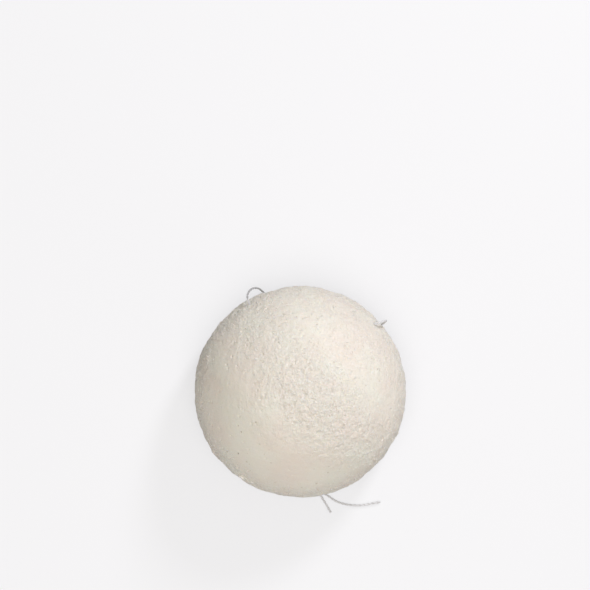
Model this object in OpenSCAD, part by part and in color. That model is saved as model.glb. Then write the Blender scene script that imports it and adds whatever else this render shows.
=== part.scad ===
// Domed face sponge of konjac foam with a cotton hanging thread.
// It rests on its back, dome up. Origin: centre of the resting face. +Y is the
// edge that hangs uppermost. All lengths in millimetres.

/* [Sponge] */
// Width across the rim
sponge_d = 80; // [70:1:100]
// Height from the resting face to the top of the dome
sponge_h = 42; // [38:1:50]
// Height of the widest line above the resting face
rim_h = 9; // [7:0.5:10]
// Radius of the shoulder between the rim and the crown
shoulder_r = 25; // [20:1:27]

/* [Back] */
// Depth of the shallow dish in the back
dish_depth = 2; // [1.4:0.1:3.4]
// Width of the flat ring that the sponge rests on
seat_w = 2; // [1.5:0.5:4]

/* [Thread] */
// Thickness of the cotton thread
thread_d = 0.7; // [0.5:0.1:0.9]
// Gap between the thread and the foam of its stitch hole
stitch_gap = 0.2; // [0.1:0.05:0.3]
// Gap between the thread and the foam of the dents in the seat
dent_gap = 0.3; // [0.2:0.05:0.4]

/* [Knot] */
// Turns of thread that show on the knot
knot_turns = 3; // [2:1:4]
// Play between the two strands inside the knot
strand_play = 0.06; // [0.02:0.02:0.1]
// Turn of the knot in the plane of the back, in degrees
knot_turn = -60; // [-75:5:-45]

/* [Hidden] */

foam_color = "#E6DFD0";
thread_color = "#F1EFEA";

// Outline of the foam: the dish, the flat seat, the rim as a quarter round, the
// shoulder as a wider arc, and the crown as a third arc that is tangent to the shoulder.
rim_r = sponge_d / 2;
seat_r = rim_r - rim_h;
dish_r = seat_r - seat_w;
dome_h = sponge_h - rim_h;
shoulder_x = rim_r - shoulder_r;
crown_r = (pow(shoulder_x, 2) + pow(dome_h, 2) - pow(shoulder_r, 2)) / (2 * (dome_h - shoulder_r));
crown_z = sponge_h - crown_r;
dish_ball_r = (pow(dish_r, 2) + pow(dish_depth, 2)) / (2 * dish_depth);
dish_edge_turn = asin(dish_r / dish_ball_r);
shoulder_turn = atan2(rim_h - crown_z, shoulder_x);
// Straight steps that each arc is drawn in, and sides of the whole turned body
dish_steps = 5;
rim_steps = 9;
shoulder_steps = 8;
crown_steps = 14;
foam_sides = 96;

// The thread
thread_r = thread_d / 2;
thread_sides = 8;
// Height of a lying thread over the surface that it lies on
thread_lift = 0.05;
// How far a dent and a stitch hole run on past the thread's points
dent_overrun = 2;
stitch_overrun = 2;

// The knot: a core of two strands side by side, under turns that sink into it
turn_pitch_share = 0.85;
turn_sink_share = 0.6;
strand_offset = (thread_d + strand_play) / 2;
knot_core_r = thread_d + strand_play;
turn_ring_r = knot_core_r + thread_r - thread_d * turn_sink_share;
turn_pitch = thread_d * turn_pitch_share;
knot_l = turn_pitch * (knot_turns - 1) + thread_d + strand_play;
knot_r = turn_ring_r + thread_r;
knot_dir = [cos(knot_turn), sin(knot_turn), 0];
knot_side = [-sin(knot_turn), cos(knot_turn), 0];
knot_xy = [7.1, -37.6];
knot_center = [knot_xy[0], knot_xy[1], knot_r + thread_lift];

// Routes of the thread. Each point is [x, y, height of the thread's underside].
// The left strand: out of the upper left hole, round the rim, under the seat.
left_loop = [
  [-19.2, 33.4, 17.2], [-19.5, 34.2, 17.5], [-19.8, 35.2, 17.6], [-19.9, 36.2, 17.2],
  [-19.7, 37.3, 16.2], [-19.1, 38.3, 14.7], [-18.1, 39.1, 12.9], [-16.9, 39.4, 11.2],
  [-15.6, 39.1, 9.4], [-14.7, 38.4, 7.6], [-13.9, 37.7, 5.6], [-13.2, 36.9, 3.6],
  [-12.6, 35.9, 1.9], [-12.1, 34.7, 0.6],
];
left_in = [[-11.7, 33.4, 0], [-12, 28.6, 0], [-12.3, 23.8, 0], [-12.6, 19, 0], [-12.9, 14.2, 0]];
left_back = [
  [-12.9, 10.2, 0], [-12.5, 6.3, 0], [-11.7, 2.4, 0], [-10.4, -1.6, 0],
  [-8.7, -5.6, 0], [-6.6, -9.7, 0],
];
left_out = [[-4.2, -14, 0], [-2, -19, 0], [0.2, -24, 0], [2.4, -29, 0], [4.6, -34, 0]];
left_end = [[5.5, -35.6, 0.1]];

// The right strand: out of the upper right hole, round the rim, under the seat.
right_loop = [
  [28.2, 25.8, 18.3], [28.9, 25.9, 18.5], [29.6, 26.1, 18.5], [30.4, 26.4, 18.1],
  [31.2, 26.7, 17.3], [31.9, 26.9, 16.2], [32.3, 27, 14.7], [32.5, 26.9, 13],
  [32.4, 26.7, 11.1], [32.2, 26.5, 9.2], [31.9, 26.2, 7.3], [31.5, 25.9, 5.5],
  [31, 25.5, 3.8], [30.4, 24.9, 2.3], [29.6, 24.1, 1.1], [28.6, 23.2, 0.3],
];
right_in = [[27.4, 22.2, 0], [23.2, 19, 0], [19, 15.8, 0], [14.8, 12.6, 0]];
right_back = [
  [12.3, 10.1, 0], [10.9, 7, 0], [10.3, 3.5, 0], [10.3, -0.1, 0],
  [10.7, -3.7, 0], [11.1, -7.2, 0], [11.2, -10.7, 0],
];
right_out = [[10.8, -14, 0], [9.7, -19, 0], [8.6, -24, 0], [7.5, -29, 0], [6.4, -34, 0]];
right_end = [[6.4, -35.3, 0.1]];

// The tails, from the knot to their cut ends
long_tail = [
  [8.3, -38.7, 0.4], [9, -39.1, 0.2], [9.8, -39.5, 0], [11.2, -40.4, 0], [13, -41.6, 0],
  [15, -42.6, 0], [17.2, -43.2, 0], [20, -43.6, 0], [23, -43.6, 0], [26, -43.2, 0],
  [28.6, -42.7, 0], [30.7, -42.3, 0],
];
short_tail = [[8, -40, 0.2], [9.9, -43.2, 0], [11.7, -46.3, 0]];

function along(points) = [for (p = points) [p[0], p[1], p[2] + thread_r + thread_lift]];
function unit(v) = v / norm(v);
function last_of(list) = list[len(list) - 1];
function end_dir(route) = unit(last_of(route) - route[len(route) - 2]);

// Where a strand meets an end of the knot: end is -1 at the sponge and 1 at the tails,
// side is -1 on the left and 1 on the right
function port(end, side) =
  knot_center + knot_dir * end * knot_l / 2 + knot_side * side * strand_offset;

left_route = concat(along(concat(left_loop, left_in, left_back, left_out, left_end)), [port(-1, -1)]);
right_route = concat(along(concat(right_loop, right_in, right_back, right_out, right_end)), [port(-1, 1)]);
long_route = concat([port(1, 1)], along(long_tail));
short_route = concat([port(1, -1)], along(short_tail));
stitch_dir = unit(right_route[0] - left_route[0]);

// Directions of a route's rings: the given ones at its two ends, and halfway
// between the stretches on either side of each point in between
function turns(route, first, last) = [
  for (i = [0 : len(route) - 1])
    i == 0 ? first
    : i == len(route) - 1 ? last
    : unit(unit(route[i] - route[i - 1]) + unit(route[i + 1] - route[i]))
];

// Part of v that lies square to the direction t
function square_to(v, t) = unit(v - t * (v * t));

// One direction square to each ring's own, carried along so that the tube doesn't twist
first_up = [0.1, 0.2, 1];
function carried(dirs) = [
  for (i = 0, u = square_to(first_up, dirs[0]); i < len(dirs);
       i = i + 1, u = i < len(dirs) ? square_to(u, dirs[i]) : u) u
];

// A thread along a route, with flat ends square to the first and last directions
module thread(route, first, last) {
  n = thread_sides;
  dirs = turns(route, first, last);
  ups = carried(dirs);
  points = [
    for (i = [0 : len(route) - 1]) for (k = [0 : n - 1])
      route[i] + thread_r * (cos(360 * k / n) * ups[i] + sin(360 * k / n) * cross(dirs[i], ups[i]))
  ];
  walls = [
    for (i = [0 : len(route) - 2]) for (k = [0 : n - 1])
      let (a = i * n + k, b = i * n + (k + 1) % n)
        each [[a, a + n, b + n], [a, b + n, b]]
  ];
  start_cap = [for (k = [1 : n - 2]) [0, k, k + 1]];
  end_at = (len(route) - 1) * n;
  end_cap = [for (k = [1 : n - 2]) [end_at, end_at + k + 1, end_at + k]];
  polyhedron(points = points, faces = concat(walls, start_cap, end_cap));
}

// A rod from a to b, run on past both ends
module rod(a, b, r, overrun) {
  dir = unit(b - a);
  translate(a - dir * overrun)
    rotate([0, acos(dir[2]), atan2(dir[1], dir[0])])
      cylinder(r = r, h = norm(b - a) + 2 * overrun, $fn = 32);
}

// Points on an arc, from one direction to another in degrees, both ends included
function arc(center, r, from, to, steps) = [
  for (i = [0 : steps]) let (turn = from + (to - from) * i / steps)
    center + r * [cos(turn), sin(turn)]
];

// An arc that goes on from the last one already has its first point
function after_first(list) = [for (i = [1 : len(list) - 1]) list[i]];

// Half section of the foam, right of the axis, from the middle of the dish round to the top
foam_outline = concat(
  arc([0, dish_depth - dish_ball_r], dish_ball_r, 90, 90 - dish_edge_turn, dish_steps),
  arc([seat_r, rim_h], rim_h, -90, 0, rim_steps),
  after_first(arc([shoulder_x, rim_h], shoulder_r, 0, shoulder_turn, shoulder_steps)),
  after_first(arc([0, crown_z], crown_r, shoulder_turn, 90, crown_steps))
);

module sponge() {
  color(foam_color)
    difference() {
      rotate_extrude($fn = foam_sides) polygon(foam_outline);
      // The stitch hole
      rod(left_route[0], right_route[0], thread_r + stitch_gap, stitch_overrun);
      // The dents where the thread passes under the seat
      for (crossing = [left_in, left_out, right_in, right_out])
        let (lying = along(crossing))
          rod(lying[0], last_of(lying), thread_r + dent_gap, dent_overrun);
    }
}

module string_through() {
  color(thread_color) rod(left_route[0], right_route[0], thread_r, 0);
}

module string_left() {
  color(thread_color) thread(left_route, -stitch_dir, knot_dir);
}

module string_right() {
  color(thread_color) thread(right_route, stitch_dir, knot_dir);
}

module knot() {
  color(thread_color)
    translate(knot_center) rotate([0, 90, knot_turn])
      rotate_extrude($fn = 48) {
        translate([0, -knot_l / 2]) square([knot_core_r, knot_l]);
        for (i = [0 : knot_turns - 1])
          translate([turn_ring_r, (i - (knot_turns - 1) / 2) * turn_pitch])
            circle(r = thread_r, $fn = 32);
      }
}

module tail_long() {
  color(thread_color) thread(long_route, knot_dir, end_dir(long_route));
}

module tail_short() {
  color(thread_color) thread(short_route, knot_dir, end_dir(short_route));
}

sponge();
string_through();
string_left();
string_right();
knot();
tail_long();
tail_short();
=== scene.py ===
import math
import bpy
import numpy as np
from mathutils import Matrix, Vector
from mathutils.kdtree import KDTree


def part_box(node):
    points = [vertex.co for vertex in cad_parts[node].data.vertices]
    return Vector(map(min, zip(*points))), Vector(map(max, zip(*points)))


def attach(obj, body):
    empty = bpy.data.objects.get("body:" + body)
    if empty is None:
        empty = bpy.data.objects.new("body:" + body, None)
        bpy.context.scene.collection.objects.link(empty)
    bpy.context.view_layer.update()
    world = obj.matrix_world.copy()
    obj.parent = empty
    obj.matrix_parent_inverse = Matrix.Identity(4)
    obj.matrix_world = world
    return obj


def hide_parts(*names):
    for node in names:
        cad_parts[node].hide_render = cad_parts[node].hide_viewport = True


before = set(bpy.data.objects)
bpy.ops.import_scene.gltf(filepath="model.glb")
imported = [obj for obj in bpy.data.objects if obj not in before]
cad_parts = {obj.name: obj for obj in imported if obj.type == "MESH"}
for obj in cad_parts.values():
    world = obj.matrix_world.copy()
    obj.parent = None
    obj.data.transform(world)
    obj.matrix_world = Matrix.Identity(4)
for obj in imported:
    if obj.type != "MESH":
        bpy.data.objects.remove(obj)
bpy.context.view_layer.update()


# Thread in the foam
# Two-ply cotton that a needle drew through the foam, from one side of the upper rim to the other.
# Each ply is a tube that winds round the thread's middle line, half a turn from its twin. At each
# hole the stitch turns to meet the skin. The cotton of the loop beyond the left hole is painted grey,
# as painted shade, and the hollows between the fibres of all the cotton are painted dim, also as painted
# shade.
MM = 0.001
thread_d = 0.7 * MM
ply_r = 0.33 * thread_d
ply_out = 0.26 * thread_d               # from the thread's middle line to that of each ply
twist = 3 * MM                          # length of one turn of the plies
ring_step = 0.25 * MM
curve_steps = 24                        # from one chosen point of a line to the next
floor_gap = 0.05 * MM
ply_gap = 0.02 * MM                     # the least gap under a ply
middle_h = thread_d / 2 + floor_gap
bend_run = 1.5 * MM                     # from a turn of the stitch to its straight run
loop_shade_in = 3.6 * MM, 5.6 * MM            # the painted shade of the loop fades in from here to here along its ply
loop_shade_out = 18 * MM, 40 * MM            # and fades out again from here to here
white_cotton = (0.90, 0.90, 0.90, 1)
white_hollow_shade = (0.68, 0.68, 0.69, 1)    # painted shade between the fibres
# painted shade of the loop beyond the left hole
loop_shade_cotton = (0.56, 0.56, 0.56, 1)
# painted shade between the fibres, within the painted shade of the loop
loop_hollow_shade = (0.36, 0.36, 0.37, 1)


def metres(*points):
    """The thread's middle, from points in millimetres whose height is that of its underside."""
    return [Vector((x, y, z)) * MM + Vector((0, 0, middle_h)) for x, y, z in points]


hole_left, hole_right = metres((-19.2, 33.4, 17.2), (28.2, 25.8, 18.3))
turn_left, turn_right = metres((-18.1, 32.6, 17.2), (27.1, 25.8, 17.9))
stitch_way = (turn_right - turn_left).normalized()
run_left = turn_left + stitch_way * bend_run
run_right = turn_right - stitch_way * bend_run


def distance_along(line):
    """The distance from a line's start to each of its points."""
    return np.append(0, np.cumsum(np.linalg.norm(np.diff(line, axis=0), axis=1)))


def even(line, step):
    """The same line with its points about a step apart."""
    old = distance_along(line)
    new = np.linspace(0, old[-1], round(old[-1] / step) + 1)
    return np.column_stack([np.interp(new, old, line[:, axis]) for axis in range(3)])


def smooth_line(points):
    """One smooth curve that passes through the chosen points."""
    route = bpy.data.curves.new("route", "CURVE")
    route.dimensions = "3D"
    route.resolution_u = curve_steps
    spline = route.splines.new("BEZIER")
    spline.bezier_points.add(len(points) - 1)
    for turn, point in zip(spline.bezier_points, points):
        turn.co = point
        turn.handle_left_type = turn.handle_right_type = "AUTO"
    holder = bpy.data.objects.new("route", route)
    bpy.context.scene.collection.objects.link(holder)
    bpy.context.view_layer.update()
    line = np.array([v.co for v in holder.to_mesh().vertices])
    bpy.data.objects.remove(holder)
    return even(line, ring_step)


def round_about(line):
    """Two directions square to a line at each of its points, carried along it without turning."""
    ways = np.gradient(line, axis=0)
    ways /= np.linalg.norm(ways, axis=1, keepdims=True)
    off_the_line = (0.3, 0.5, 0.8)
    side = np.cross(ways[0], off_the_line)
    sides = []
    for way in ways:
        side = side - way * (side @ way)
        side = side / np.linalg.norm(side)
        sides.append(side)
    return np.array(sides), np.cross(ways, sides)


def tube(line, radius, sides=8, start=0):
    """A tube along a line, closed at both ends: its points, its faces, and for each point its
    place on the same tube laid straight from start on, which the fibres of the cotton follow."""
    side, rise = round_about(line)
    radius = np.broadcast_to(radius, len(line))[:, None]
    angle = np.arange(sides) * 2 * math.pi / sides
    ring = np.cos(angle)[:, None] * side[:, None] + np.sin(angle)[:, None] * rise[:, None]
    points = line[:, None] + ring * radius[:, :, None]
    straight = np.empty_like(points)
    straight[:, :, 0] = start + distance_along(line)[:, None]
    straight[:, :, 1] = radius * np.cos(angle)
    straight[:, :, 2] = radius * np.sin(angle)
    corner = np.arange(sides)
    beside = np.roll(corner, -1)
    first = np.arange(len(line) - 1)[:, None] * sides
    quads = np.stack([first + corner, first + beside, first + sides + beside, first + sides + corner], 2)
    faces = quads.reshape(-1, 4).tolist()
    last = sides * (len(line) - 1)
    faces += [list(range(sides))[::-1], list(range(last, last + sides))]
    return points.reshape(-1, 3), faces, straight.reshape(-1, 3)


def joined(name, tubes):
    """One piece made of several tubes."""
    points, faces, straights = [], [], []
    count = 0
    for tube_points, tube_faces, tube_straight in tubes:
        faces += [[index + count for index in face] for face in tube_faces]
        count += len(tube_points)
        points.append(tube_points)
        straights.append(tube_straight)
    mesh = bpy.data.meshes.new(name)
    mesh.from_pydata(np.vstack(points).tolist(), [], faces)
    laid = mesh.attributes.new("laid_straight", "FLOAT_VECTOR", "POINT")
    laid.data.foreach_set("vector", np.vstack(straights).ravel())
    mesh.shade_smooth()
    piece = bpy.data.objects.new(name, mesh)
    bpy.context.scene.collection.objects.link(piece)
    return piece


def two_ply(line, spread=ply_out, turns=None, radius=ply_r, start=0):
    """Both plies of a thread along a line. spread is how far they lie from the line."""
    side, rise = round_about(line)
    spread = np.broadcast_to(spread, len(line))[:, None]
    turns = distance_along(line) / twist if turns is None else turns
    for half_turn in (0, 0.5):
        angle = (2 * math.pi * (turns + half_turn))[:, None]
        ply = line + spread * (np.cos(angle) * side + np.sin(angle) * rise)
        ply[:, 2] = np.maximum(ply[:, 2], radius + ply_gap)
        yield tube(ply, radius, start=start)


class Shade:
    """A shader value. A sum or product with one adds its Math node to the material."""

    def __init__(self, tree, socket=None):
        self.tree = tree
        self.socket = socket

    def node(self, kind, values=(), output=0, **settings):
        """Adds any node: its settings come first, then its sockets' values or links."""
        made = self.tree.nodes.new(kind)
        for name, setting in settings.items():
            setattr(made, name, setting)
        for name, value in dict(values).items():
            if isinstance(value, Shade):
                self.tree.links.new(value.socket, made.inputs[name])
            else:
                made.inputs[name].default_value = value
        return Shade(self.tree, made.outputs[output])

    def maths(self, operation, first, second=0.0):
        """Adds a Math node on two values, or on one."""
        return self.node("ShaderNodeMath", {0: first, 1: second}, operation=operation)

    def __add__(self, other):
        return self.maths("ADD", self, other)

    def __sub__(self, other):
        return self.maths("SUBTRACT", self, other)

    def __rsub__(self, other):
        return self.maths("SUBTRACT", other, self)

    def __mul__(self, other):
        return self.maths("MULTIPLY", self, other)

    def __abs__(self):
        return self.maths("ABSOLUTE", self)

    __radd__ = __add__
    __rmul__ = __mul__

    def between(self, low, high):
        """0 up to low, 1 from high, and even in between."""
        return self.node("ShaderNodeMapRange", {"Value": self, "From Min": low, "From Max": high})

    def mix(self, first, second):
        """The colour first where this value is 0, and second where it is 1."""
        # A Mix node that mixes colours takes its factor at 0 and the colours at 6 and 7, and gives 2.
        return self.node("ShaderNodeMix", {0: self, 6: first, 7: second}, 2, data_type="RGBA")

    def into(self, shader, name):
        """Feeds this value to one of a shader's sockets."""
        self.tree.links.new(self.socket, shader.inputs[name])


def new_material(name):
    """A bare material: it, a Shade that adds nodes to it, and its Principled shader."""
    material = bpy.data.materials.new(name)
    material.use_nodes = True
    return material, Shade(material.node_tree), material.node_tree.nodes["Principled BSDF"]


cotton, graph, shader = new_material("cotton_thread")
laid_straight = graph.node("ShaderNodeAttribute", output="Vector", attribute_name="laid_straight")
drawn_out = graph.node("ShaderNodeMapping", {"Vector": laid_straight, "Scale": (700.0, 16000.0, 16000.0)})
fibres = graph.node("ShaderNodeTexNoise", {"Vector": drawn_out, "Scale": 1.0, "Detail": 2.0})
along_ply = graph.node("ShaderNodeSeparateXYZ", {"Vector": laid_straight}, "X")
# 1 where the cotton is out of the loop's painted shade, 0 within it
out_of_loop_shade = 1 - along_ply.between(*loop_shade_in) + along_ply.between(*loop_shade_out)
fibre_colour = out_of_loop_shade.mix(loop_shade_cotton, white_cotton)
hollow_shade_colour = out_of_loop_shade.mix(loop_hollow_shade, white_hollow_shade)
# the hollows between the fibres are painted dim, as painted shade
fibres.between(0.3, 0.7).mix(hollow_shade_colour, fibre_colour).into(shader, "Base Color")
cotton_bump = graph.node("ShaderNodeBump", {"Strength": 0.6, "Distance": 0.04 * MM, "Height": fibres})
cotton_bump.into(shader, "Normal")
shader.inputs["Roughness"].default_value = 0.85

thread_in_foam = joined("thread_in_foam", two_ply(smooth_line([run_left, run_right])))
thread_in_foam.data.materials.append(cotton)
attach(thread_in_foam, "root")
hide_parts("string_through")


# Left strand and long tail
# The thread comes out of the upper left hole, loops round the rim and runs behind the sponge to the
# knot below. Past the knot it is the longer cut end, whose plies have begun to come apart. Loose
# hairs of its cotton stand off it all the way.
left_route = metres(
    (-19.2, 33.4, 17.2), (-19.5, 34.2, 17.5), (-19.8, 35.2, 17.6), (-19.9, 36.2, 17.2), (-19.7, 37.3, 16.2),
    (-19.1, 38.3, 14.7), (-18.1, 39.1, 12.9), (-16.9, 39.4, 11.2), (-15.6, 39.1, 9.4), (-14.7, 38.4, 7.6),
    (-13.9, 37.7, 5.6), (-13.2, 36.9, 3.6), (-12.6, 35.9, 1.9), (-12.1, 34.7, 0.6), (-11.7, 33.4, 0),
    (-12, 28.6, 0), (-12.3, 23.8, 0), (-12.6, 19, 0), (-12.9, 14.2, 0), (-12.9, 10.2, 0),
    (-12.5, 6.3, 0), (-11.7, 2.4, 0), (-10.4, -1.6, 0), (-8.7, -5.6, 0), (-6.6, -9.7, 0),
    (-4.2, -14, 0), (-2, -19, 0), (0.2, -24, 0), (2.4, -29, 0), (4.6, -34, 0), (5.5, -35.6, 0.1))
long_tail = metres(
    (8.3, -38.7, 0.4), (9, -39.1, 0.2), (9.8, -39.5, 0), (11.2, -40.4, 0), (13, -41.6, 0), (15, -42.6, 0),
    (17.2, -43.2, 0), (20, -43.6, 0), (23, -43.6, 0), (26, -43.2, 0), (28.6, -42.7, 0), (30.7, -42.3, 0))
knot_at = Vector((7.1, -37.6, 1.09)) * MM
knot_way = Vector((0.5, -0.866, 0))
knot_side = Vector((0.866, 0.5, 0))
knot_half = 1 * MM
strand_gap = 0.38 * MM                  # from the knot's middle line to a strand that enters it
cross_gap = 0.26 * MM                   # and to a strand that passes its twin
tight = 0.7                             # thickness of the thread in the knot, as a share of the free one
tight_within = 0.54 * knot_half
free_from = 1.44 * knot_half
long_end = 14 * MM                      # stretch over which the plies come apart
long_end_loose = 0.35
untwisting = 0.6                        # how much slower the plies wind where they come apart
hair_r = 0.012 * MM
hair_sides = 3
hair_points = 4
hair_every = 0.9 * MM
hair_length = 0.3 * MM, 1.0 * MM        # the shortest and the longest
hair_lean = 0.5
hair_gap = 0.03 * MM                    # the least gap under a hair
draw = np.random.default_rng(7)


def through_knot(side):
    """Where a strand runs through the knot: in on one side, past its twin and out on the other."""
    ahead = knot_way * knot_half
    across = knot_side * side * strand_gap
    past = Vector((0, 0, side * cross_gap))
    return [knot_at - ahead + across, knot_at + past, knot_at + ahead - across]


def squeezed(line):
    """How thick a strand is at each point, as a share of the free thread: less in the knot."""
    from_knot = np.linalg.norm(line - knot_at, axis=1)
    return np.interp(from_knot, [tight_within, free_from], [tight, 1])


def cut_end(line, length, loosening):
    """The spread and the turns of a thread whose plies come apart over the last stretch."""
    along = distance_along(line)
    to_end = np.clip((along - along[-1] + length) / length, 0, 1)
    slower = 1 - untwisting * to_end * loosening
    turns = np.append(0, np.cumsum(np.diff(along) / twist * slower[1:]))
    return ply_out + ply_r * loosening * to_end ** 2, turns


def hairs(line):
    """Loose hairs along a line: each leaves the thread, curls over and ends in the air."""
    side, rise = round_about(line)
    steps = np.linspace(0, 1, hair_points)[:, None]
    for _ in range(int(distance_along(line)[-1] / hair_every)):
        at = draw.integers(2, len(line) - 2)
        angle = draw.uniform(0, 2 * math.pi)
        out = np.cos(angle) * side[at] + np.sin(angle) * rise[at]
        lean = (line[at + 1] - line[at - 1]) / ring_step * draw.uniform(-hair_lean, hair_lean)
        length = draw.uniform(*hair_length)
        curl = np.cross(out, lean) * draw.uniform(-1, 1)
        hair = line[at] + out * ply_r + (out * steps + lean * steps + curl * steps ** 2) * length
        hair[:, 2] = np.maximum(hair[:, 2], hair_gap)
        yield tube(hair, hair_r, hair_sides)


left_line = smooth_line([run_left, turn_left] + left_route + through_knot(-1) + long_tail)
left_spread, left_turns = cut_end(left_line, long_end, long_end_loose)
left_share = squeezed(left_line)
left_plies = two_ply(left_line, left_spread * left_share, left_turns, ply_r * left_share)
left_thread = joined("left_thread", [*left_plies, *hairs(left_line)])
left_thread.data.materials.append(cotton)
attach(left_thread, "root")
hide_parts("string_left", "tail_long")


# Right strand and short tail
# The same thread from the upper right hole: a short loop at the rim, seen edge on, then behind the
# sponge to the knot and out as the shorter cut end. It is white throughout, without the painted shade
# of the left loop, so its cotton is laid on from the stitch's far end.
right_route = metres(
    (28.2, 25.8, 18.3), (28.9, 25.9, 18.5), (29.6, 26.1, 18.5), (30.4, 26.4, 18.1), (31.2, 26.7, 17.3),
    (31.9, 26.9, 16.2), (32.3, 27, 14.7), (32.5, 26.9, 13), (32.4, 26.7, 11.1), (32.2, 26.5, 9.2),
    (31.9, 26.2, 7.3), (31.5, 25.9, 5.5), (31, 25.5, 3.8), (30.4, 24.9, 2.3), (29.6, 24.1, 1.1),
    (28.6, 23.2, 0.3), (27.4, 22.2, 0), (23.2, 19, 0), (19, 15.8, 0), (14.8, 12.6, 0),
    (12.3, 10.1, 0), (10.9, 7, 0), (10.3, 3.5, 0), (10.3, -0.1, 0), (10.7, -3.7, 0),
    (11.1, -7.2, 0), (11.2, -10.7, 0), (10.8, -14, 0), (9.7, -19, 0), (8.6, -24, 0),
    (7.5, -29, 0), (6.4, -34, 0), (6.4, -35.3, 0.1))
short_tail = metres((8, -40, 0.2), (9.9, -43.2, 0), (11.7, -46.3, 0))
short_end = 2 * MM
short_end_loose = 0.25

right_line = smooth_line([run_right, turn_right] + right_route + through_knot(1) + short_tail)
right_spread, right_turns = cut_end(right_line, short_end, short_end_loose)
right_share = squeezed(right_line)
stitch_length = distance_along(np.array([run_left, run_right]))[-1]
right_plies = two_ply(
    right_line, right_spread * right_share, right_turns, ply_r * right_share, stitch_length)
right_thread = joined("right_thread", [*right_plies, *hairs(right_line)])
right_thread.data.materials.append(cotton)
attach(right_thread, "root")
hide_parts("string_right", "tail_short")


# Knot
# Both strands are tied together in one overhand knot, drawn tight: the doubled thread passes round
# itself and out through its own loop, so two turns of it show side by side.
knot_r = 0.75 * MM
knot_pitch = 1.05 * MM
knot_turns = 1.55
knot_points = 48
tuck_share = 0.12                       # share of the turns over which each end tucks in
tucked_r_share = 0.45                   # how far out a tucked end lies, as a share of knot_r
first_angle = 0.6                       # in radians


def round_knot(shift):
    """One thread's turns about the knot, whose ends tuck in between the strands."""
    done = np.linspace(0, 1, knot_points)
    out = np.sin(np.clip(np.minimum(done, 1 - done) / tuck_share, 0, 1) * math.pi / 2)
    angle = 2 * math.pi * knot_turns * done + first_angle
    forward = (done - 0.5) * knot_turns * knot_pitch + shift
    ring = np.cos(angle)[:, None] * np.array(knot_side) + np.sin(angle)[:, None] * np.array((0, 0, 1))
    radius = knot_r * (tucked_r_share + (1 - tucked_r_share) * out)
    middle = np.array(knot_at) + forward[:, None] * np.array(knot_way)
    return even(middle + radius[:, None] * ring, ring_step)


# the knot's cotton is laid on past the painted shade of the loop, so it has none
knot_tubes = []
for shift in (-knot_pitch / 4, knot_pitch / 4):
    knot_tubes += two_ply(round_knot(shift), ply_out * tight, radius=ply_r * tight, start=loop_shade_out[1])
knot = joined("overhand_knot", knot_tubes)
knot.data.materials.append(cotton)
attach(knot, "root")
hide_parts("knot")
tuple(hole_left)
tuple(hole_right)


# Sponge
# One moulding of dried konjac foam: a dome on a rounded rim, with a shallow dish in its back. It is
# raised ring by ring from the dish to the crown, pierced by the needle, and roughened as freeze-drying
# leaves it, most in one band. Then its pores, a nick and the dents of its thread are pressed in.
low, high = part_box("sponge")
sponge_r = (high.x - low.x) / 2
sponge_h = high.z
rim_h = 9 * MM
shoulder_r = 25 * MM
dish_depth = 2 * MM
seat_w = 2 * MM
ring_points = 96
dish_steps, rim_steps, shoulder_steps, crown_steps = 12, 12, 8, 14
skin_step = 0.33 * MM
needle_r = 0.45 * MM
needle_sides = 16
tight_skin = 1.2 * MM                   # how far from the stitch hole the relief reaches its height
weight_steps = 20                       # from no relief to its full height


def arc(centre, radius, start, end, steps):
    """Points from start to end degrees round a centre, in the plane of (radius, height)."""
    middle_r, middle_z = centre
    angles = [math.radians(start + (end - start) * i / steps) for i in range(steps + 1)]
    return [(middle_r + radius * math.cos(angle), middle_z + radius * math.sin(angle)) for angle in angles]


def sponge_outline():
    """Half of the sponge's section, from the middle of the dish round the rim to the crown."""
    seat_out = sponge_r - rim_h
    seat_in = seat_out - seat_w
    dish_r = (seat_in ** 2 + dish_depth ** 2) / (2 * dish_depth)
    dish_half = math.degrees(math.asin(seat_in / dish_r))
    shoulder = (sponge_r - shoulder_r, rim_h)
    rise = sponge_h - rim_h
    crown_r = (shoulder[0] ** 2 + rise ** 2 - shoulder_r ** 2) / (2 * (rise - shoulder_r))
    crown = (0, sponge_h - crown_r)
    meet = math.degrees(math.atan2(shoulder[1] - crown[1], shoulder[0]))
    dish = arc((0, dish_depth - dish_r), dish_r, 90, 90 - dish_half, dish_steps)
    rim = arc((seat_out, rim_h), rim_h, -90, 0, rim_steps)
    side = arc(shoulder, shoulder_r, 0, meet, shoulder_steps)
    top = arc(crown, crown_r, meet, 90, crown_steps)
    return dish[1:] + rim + side[1:] + top[1:-1]


def apply_all(piece):
    """Applies every modifier of a piece, from the top down, with nothing else selected."""
    bpy.ops.object.select_all(action="DESELECT")
    piece.select_set(True)
    bpy.context.view_layer.objects.active = piece
    for modifier in list(piece.modifiers):
        bpy.ops.object.modifier_apply(modifier=modifier.name)


def vertices_of(piece, what="co"):
    """The places of a piece's vertices, or the directions that they face, as an array."""
    flat = np.empty(len(piece.data.vertices) * 3)
    piece.data.vertices.foreach_get(what, flat)
    return flat.reshape(-1, 3)


def tree_of(places):
    """A tree that finds the places near a point."""
    tree = KDTree(len(places))
    for index, place in enumerate(places):
        tree.insert(place, index)
    tree.balance()
    return tree


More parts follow.
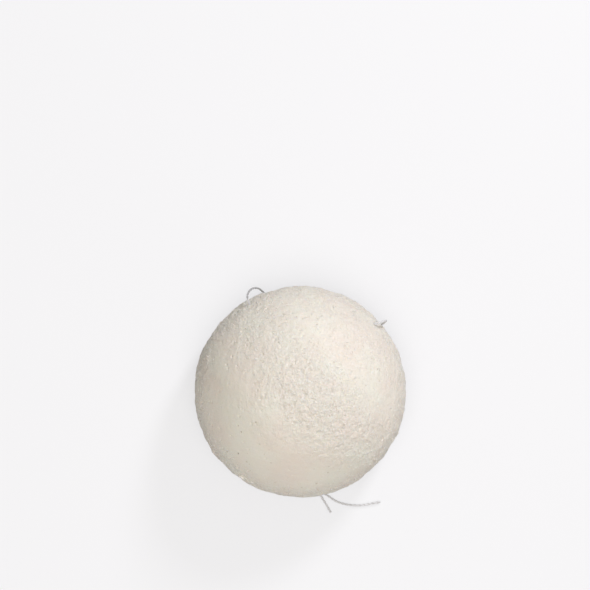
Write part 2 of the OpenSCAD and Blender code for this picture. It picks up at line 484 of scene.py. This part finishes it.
bpy.ops.object.select_all(action="DESELECT")
outline = sponge_outline()
first_r, first_h = outline[0]
bpy.ops.mesh.primitive_circle_add(vertices=ring_points, radius=first_r, location=(0, 0, first_h))
sponge = bpy.context.object
sponge.name = "sponge_foam"
bpy.ops.object.transform_apply()
bpy.ops.object.mode_set(mode="EDIT")
bpy.ops.mesh.select_all(action="SELECT")
for (r0, z0), (r1, z1) in zip(outline, outline[1:]):
    bpy.ops.mesh.extrude_edges_move(TRANSFORM_OT_translate={"value": (0, 0, z1 - z0)})
    bpy.ops.transform.resize(value=(r1 / r0, r1 / r0, 1), center_override=(0, 0, z1))
bpy.ops.mesh.select_all(action="DESELECT")
bpy.ops.mesh.select_non_manifold()
bpy.ops.mesh.edge_face_add()
bpy.ops.mesh.select_all(action="SELECT")
bpy.ops.mesh.normals_make_consistent(inside=False)
bpy.ops.object.mode_set(mode="OBJECT")

out_left = 2 * hole_left - turn_left
out_right = 2 * hole_right - turn_right
needle_line = smooth_line(
    [out_left, hole_left, turn_left, run_left, run_right, turn_right, hole_right, out_right])
needle = joined("needle", [tube(needle_line, needle_r, needle_sides)])
pierced = sponge.modifiers.new("pierced", "BOOLEAN")
pierced.operation = "DIFFERENCE"
pierced.object = needle
skin = sponge.modifiers.new("even_skin", "REMESH")
skin.mode = "VOXEL"
skin.voxel_size = skin_step
apply_all(sponge)
bpy.data.objects.remove(needle)

# How rough the skin is: most in the middle of a band from the upper left to the lower right, less
# beside it and towards its ends, and more again at the upper right and all round the rim.
band_at = Vector((1, 4, 0)) * MM
band_side = Vector((0.728, 0.686, 0))
band_edges = [-27 * MM, -15 * MM, -5 * MM, 8 * MM, 17 * MM, 27 * MM]
band_strengths = [0.28, 0.48, 0.95, 1.0, 0.65, 0.9]
roughest_at = Vector((4, -4, 0)) * MM
fading_edges = [8 * MM, 30 * MM]        # from roughest_at
fading_strengths = [1.0, 0.6]
rim_edges = [32 * MM, 38 * MM]          # from the middle of the sponge
rim_strengths = [0.2, 0.6]
bumpy_edges = [36 * MM, 39.5 * MM]      # from the middle too, for the bumps of the rim

smooth_places = vertices_of(sponge)
across_band = (smooth_places - np.array(band_at)) @ np.array(band_side)
from_roughest = np.linalg.norm((smooth_places - np.array(roughest_at))[:, :2], axis=1)
from_axis = np.linalg.norm(smooth_places[:, :2], axis=1)
roughness = np.interp(across_band, band_edges, band_strengths)
roughness *= np.interp(from_roughest, fading_edges, fading_strengths)
roughness = np.maximum(roughness, np.interp(from_axis, rim_edges, rim_strengths))
rough_share = sponge.data.attributes.new("rough_share", "FLOAT", "POINT")
rough_share.data.foreach_set("value", roughness)

needle_tree = tree_of(needle_line)
from_needle = np.array([needle_tree.find(place)[2] for place in smooth_places])
freedom = np.clip((from_needle - needle_r) / tight_skin, 0, 1)      # 0 at the stitch hole's wall
bumpiness = np.interp(from_axis, bumpy_edges, [0, 1])
skins = [("free_skin", freedom), ("rough_skin", freedom * roughness), ("rim_skin", freedom * bumpiness)]
for group_name, weights in skins:
    group = sponge.vertex_groups.new(name=group_name)
    for step in range(1, weight_steps + 1):
        chosen = np.nonzero(np.ceil(weights * weight_steps) == step)[0]
        group.add(chosen.tolist(), step / weight_steps, "REPLACE")
reliefs = [
    # name, kind of noise, width of its marks, height of its marks, where
    ("lumps", "SOFT_NOISE", 14 * MM, 0.6 * MM, "free_skin"),
    ("bumps", "SOFT_NOISE", 4 * MM, 0.8 * MM, "rim_skin"),
    ("ripples", "SOFT_NOISE", 2.6 * MM, 0.6 * MM, "rough_skin"),
    ("swirls", "HARD_NOISE", 1.2 * MM, -0.33 * MM, "rough_skin"),
    ("grain", "SOFT_NOISE", 0.6 * MM, 0.2 * MM, "rough_skin"),
]
for relief_name, kind, mark_w, mark_h, group_name in reliefs:
    texture = bpy.data.textures.new(relief_name, "CLOUDS")
    texture.noise_type = kind
    texture.noise_scale = mark_w
    texture.noise_depth = 1
    relief = sponge.modifiers.new(relief_name, "DISPLACE")
    relief.texture = texture
    relief.texture_coords = "LOCAL"
    relief.strength = mark_h
    relief.vertex_group = group_name
apply_all(sponge)

# What is pressed into the skin: pores, a small dent at each stitch hole, a wide shallow hollow at the
# upper left, the nick at the lower left edge, and the dents of the thread under the seat.
pore_count = 500
pore_w = 0.4 * MM, 0.75 * MM            # the narrowest and the widest
pore_depth_share = 0.3, 0.7             # of the pore's own width
hole_dent_w = 1.4 * MM
hole_dent_depth = 0.22 * MM
hollow_at = -28.5, 26.6
hollow_w = 9 * MM
hollow_depth = 0.25 * MM
nick_route = (-21.8, -31.5), (-20.6, -32.6), (-19.2, -33.6), (-17.7, -34.6)
nick_w = 0.85 * MM
nick_depth = 1.35 * MM
dent_h = 1.05 * MM
dent_r = 1.5 * MM
lying_h = middle_h + 0.1 * MM           # where the thread is lower than this it lies under the seat

places = vertices_of(sponge)
facing = vertices_of(sponge, "normal")
skin_tree = tree_of(places)
dome = np.array([point for point in outline if point[1] >= rim_h][::-1])


def on_dome(x, y):
    """The place on the dome above a point of the back, which is given in millimetres."""
    return Vector((x * MM, y * MM, np.interp(math.hypot(x, y) * MM, dome[:, 0], dome[:, 1])))


def press(line, width, depth):
    """Sinks the skin by depth along a line of points, less and less out to width from it."""
    gaps = {}
    for point in line:
        for _, index, gap in skin_tree.find_range(point, width):
            gaps[index] = min(gap, gaps.get(index, width))
    for index, gap in gaps.items():
        places[index] -= facing[index] * depth * (1 - (gap / width) ** 2) ** 2


for spot in draw.choice(len(places), pore_count, replace=False):
    width = draw.uniform(*pore_w)
    if freedom[spot] == 1:
        press([places[spot].copy()], width, width * draw.uniform(*pore_depth_share))
press([hole_left, hole_right], hole_dent_w, hole_dent_depth)
press([on_dome(*hollow_at)], hollow_w, hollow_depth)
press(smooth_line([on_dome(x, y) for x, y in nick_route]), nick_w, nick_depth)
for line in (left_line, right_line):
    for x, y, _ in line[line[:, 2] < lying_h]:
        for place, index, _ in skin_tree.find_range((x, y, dent_h / 2), dent_r + dent_h):
            from_thread = math.hypot(place[0] - x, place[1] - y)
            if from_thread < dent_r and place[2] < 2 * dent_h:
                dent = dent_h * (1 + math.cos(math.pi * from_thread / dent_r)) / 2
                places[index][2] = max(places[index][2], dent)
places[:, 2] = np.maximum(places[:, 2], 0)
sponge.data.vertices.foreach_set("co", places.ravel())
sponge.data.update()
sponge.data.shade_smooth()

# The foam's finish: cream in soft patches and paler on the swirls of its gel. Its pits, pores and low
# specks are painted dim, as painted shade.
cream = (0.888, 0.862, 0.760, 1)
dull_cream = (0.876, 0.804, 0.712, 1)
pale_cream = (0.98, 0.96, 0.92, 1)
# painted shade for the pits, the pores and the low specks
pit_shade_colour = (0.66, 0.58, 0.46, 1)
swirl_fineness = 8
swirl_light, fleck_light = 0.35, 0.5                    # how far each goes to pale cream
pit_dark, speck_dark, pore_dark = 0.35, 0.18, 0.75      # how far each goes to the painted shade of the pits
swirl_h, fine_h, pit_h, pore_h = 0.7, 0.6, 0.8, 1.2     # in shares of finish_relief
finish_relief = 0.165 * MM

foam, graph, shader = new_material("konjac_foam")
on_foam = graph.node("ShaderNodeTexCoord", output="Object")
strands = graph.node(
    "ShaderNodeTexNoise", {"Vector": on_foam, "Scale": 1300.0, "Detail": 1.0, "Distortion": 1.2})
fine = graph.node("ShaderNodeTexNoise", {"Vector": on_foam, "Scale": 1700.0, "Detail": 1.0})
patches = graph.node("ShaderNodeTexNoise", {"Vector": on_foam, "Scale": 75.0, "Detail": 2.0})
cells = graph.node("ShaderNodeTexVoronoi", {"Vector": on_foam, "Scale": 600.0})
wide_cells = graph.node("ShaderNodeTexVoronoi", {"Vector": on_foam, "Scale": 310.0})
rough = graph.node("ShaderNodeAttribute", output="Fac", attribute_name="rough_share")
swirl = 1 - (swirl_fineness * abs(strands - 0.5)).between(0, 1)
flecks = fine.between(0.60, 0.68)
specks = 1 - fine.between(0.32, 0.40)
pits = 1 - cells.between(0.10, 0.24)
pores = patches.between(0.38, 0.58) * (1 - wide_cells.between(0.065, 0.13))
body = patches.between(0.35, 0.65).mix(dull_cream, cream)
lighter = swirl_light * rough * swirl + fleck_light * rough * flecks
# painted shade: the pits, the low specks and, below, the pores are painted dim
darker = pit_dark * rough * pits + speck_dark * rough * specks
lightened = lighter.between(0, 1).mix(body, pale_cream)
darkened = darker.between(0, 1).mix(lightened, pit_shade_colour)
(pore_dark * pores).mix(darkened, pit_shade_colour).into(shader, "Base Color")
height = rough * (swirl_h * swirl + fine_h * fine - pit_h * pits) - pore_h * pores
foam_bump = graph.node("ShaderNodeBump", {"Strength": 1.0, "Distance": finish_relief, "Height": height})
foam_bump.into(shader, "Normal")
shader.inputs["Roughness"].default_value = 0.5
shader.inputs["Subsurface Weight"].default_value = 0.2
shader.inputs["Subsurface Radius"].default_value = (1.0, 0.8, 0.6)
shader.inputs["Subsurface Scale"].default_value = 0.6 * MM
sponge.data.materials.append(foam)
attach(sponge, "root")
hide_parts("sponge")


# Skin fibres
# Fine threads of the dried gel that stand a little proud of the skin where it is rough, each laid
# from one place of the skin to the next and bent at random. A thicker flake of it stands by the nick.
fibre_count = 7000
fibre_r = 0.08 * MM
fibre_points = 4
fibre_step = 0.28 * MM
fibre_bend = 0.5
fibre_shake = 0.02 * MM
fibre_edges = [0.3125, 0.9375]          # no fibres up to the first roughness, all from the second
bare_h = 3 * MM                         # no fibres lower than this
flake_lift = Vector((0, 0, 0.6 * MM))
flake_r = 0.45 * MM
flake_tip = 0.4                         # how blunt its ends are, in radians of a half circle
flake_sides = 6
cream_gel = (0.955, 0.93, 0.87, 1)
white_gel = (0.995, 0.99, 0.965, 1)

pressed_tree = tree_of(places)
fibre_tubes = []
for spot in draw.choice(len(places), fibre_count, replace=False):
    if draw.random() > np.interp(roughness[spot], fibre_edges, [0, 1]):
        continue
    way = np.cross(facing[spot], draw.normal(size=3))
    way /= np.linalg.norm(way)
    point = places[spot]
    if point[2] < bare_h or freedom[spot] < 1:
        continue
    fibre = []
    for _ in range(fibre_points):
        near, index, _ = pressed_tree.find(point)
        fibre.append(np.array(near) + facing[index] * fibre_r)
        point = fibre[-1] + way * fibre_step
        way = way + fibre_bend * np.cross(facing[index], way) * draw.uniform(-1, 1)
    shaken = np.array(fibre) + draw.normal(size=(fibre_points, 3)) * fibre_shake
    fibre_tubes.append(tube(shaken, fibre_r, hair_sides))
flake = smooth_line(
    [on_dome(-23.1, -31.5), on_dome(-22.2, -32.2) + flake_lift, on_dome(-21.2, -32.9) + flake_lift])
flake_taper = np.sin(np.linspace(flake_tip, math.pi - flake_tip, len(flake)))
fibre_tubes.append(tube(flake, flake_r * flake_taper, flake_sides))
skin_fibres = joined("skin_fibres", fibre_tubes)

gel, graph, shader = new_material("dried_gel")
on_gel = graph.node("ShaderNodeTexCoord", output="Object")
cloudy = graph.node("ShaderNodeTexNoise", {"Vector": on_gel, "Scale": 700.0, "Detail": 1.0})
cloudy.between(0.38, 0.62).mix(cream_gel, white_gel).into(shader, "Base Color")
gel_bump = graph.node("ShaderNodeBump", {"Strength": 0.5, "Distance": 0.03 * MM, "Height": cloudy})
gel_bump.into(shader, "Normal")
shader.inputs["Roughness"].default_value = 0.5
skin_fibres.data.materials.append(gel)
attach(skin_fibres, "root")


# Floor
# A plain pale sheet under the sponge. The camera sees it almost white, with the object's shadow on
# it, while the light that it throws back at the sponge is that of a darker sheet.
floor_size = 4
dark_grey = (0.3, 0.3, 0.3, 1)
shadow_grey = (0.32, 0.32, 0.32, 1)
pale_glow = (0.98, 0.98, 1.0, 1)
glow_strength = 0.62

bpy.ops.mesh.primitive_plane_add(size=floor_size)
floor = bpy.context.object
floor.name = "floor"
paper, graph, shader = new_material("pale_paper")
shader.inputs["Base Color"].default_value = dark_grey
shader.inputs["Roughness"].default_value = 0.9
glow = graph.node("ShaderNodeEmission", {"Color": pale_glow, "Strength": glow_strength})
shadowed = graph.node("ShaderNodeBsdfDiffuse", {"Color": shadow_grey})
pale_sheet = graph.node("ShaderNodeAddShader", {0: glow, 1: shadowed})
dark_sheet = Shade(graph.tree, shader.outputs[0])
camera_ray = graph.node("ShaderNodeLightPath", output="Is Camera Ray")
glossy_ray = graph.node("ShaderNodeLightPath", output="Is Glossy Ray")
passing_ray = graph.node("ShaderNodeLightPath", output="Is Transmission Ray")
looked_at = (camera_ray + glossy_ray + passing_ray).between(0, 1)
sheet = graph.node("ShaderNodeMixShader", {0: looked_at, 1: dark_sheet, 2: pale_sheet})
sheet.into(graph.tree.nodes["Material Output"], "Surface")
floor.data.materials.append(paper)


# Lamps
# A small key lamp low at the upper right gives the dome its shape, a large one nearly overhead fills
# it, and a weak one at the lower right lifts that side. Even, slightly warm light comes from all round.
lamps = [
    # name, azimuth, tilt from straight up, distance, size, watts, colour
    ("key", 58, 60, 1.0, 0.20, 5.4, (0.945, 0.94, 1.0)),
    ("top", 265, 20, 1.0, 0.90, 5.5, (1.0, 0.96, 0.96)),
    ("right", 315, 64, 1.0, 0.45, 0.55, (0.95, 0.94, 1.0)),
]
sky_colour = (1, 0.965, 0.88, 1)
sky_strength = 0.313

for lamp_name, azimuth, tilt, distance, size, watts, colour in lamps:
    turn = math.radians(azimuth)
    lean = math.radians(tilt)
    towards = Vector((math.cos(turn) * math.sin(lean), math.sin(turn) * math.sin(lean), math.cos(lean)))
    bpy.ops.object.light_add(type="AREA", location=towards * distance)
    lamp = bpy.context.object
    lamp.name = lamp_name
    lamp.rotation_euler = towards.to_track_quat("Z", "Y").to_euler()
    lamp.data.size = size
    lamp.data.energy = watts
    lamp.data.color = colour

world = bpy.data.worlds.new("studio")
bpy.context.scene.world = world
world.use_nodes = True
sky = world.node_tree.nodes["Background"]
sky.inputs["Color"].default_value = sky_colour
sky.inputs["Strength"].default_value = sky_strength


# Camera
# It looks straight down on the dome from the distance of a long lens, with the middle of the picture
# above the sponge's upper rim, as in the photograph.
picture_px = 590
sponge_px = 210.6
sponge_at_px = (300.1, 391.7)
lens_mm = 250
sensor_mm = 36
metres_per_px = 2 * sponge_r / sponge_px
camera_distance = picture_px * metres_per_px * lens_mm / sensor_mm
view_x = (picture_px / 2 - sponge_at_px[0]) * metres_per_px
view_y = (sponge_at_px[1] - picture_px / 2) * metres_per_px

bpy.ops.object.camera_add(location=(view_x, view_y, rim_h + camera_distance), rotation=(0, 0, 0))
camera = bpy.context.object
camera.data.lens = lens_mm
camera.data.sensor_width = sensor_mm
bpy.context.scene.camera = camera
bpy.context.scene.view_settings.view_transform = "Standard"
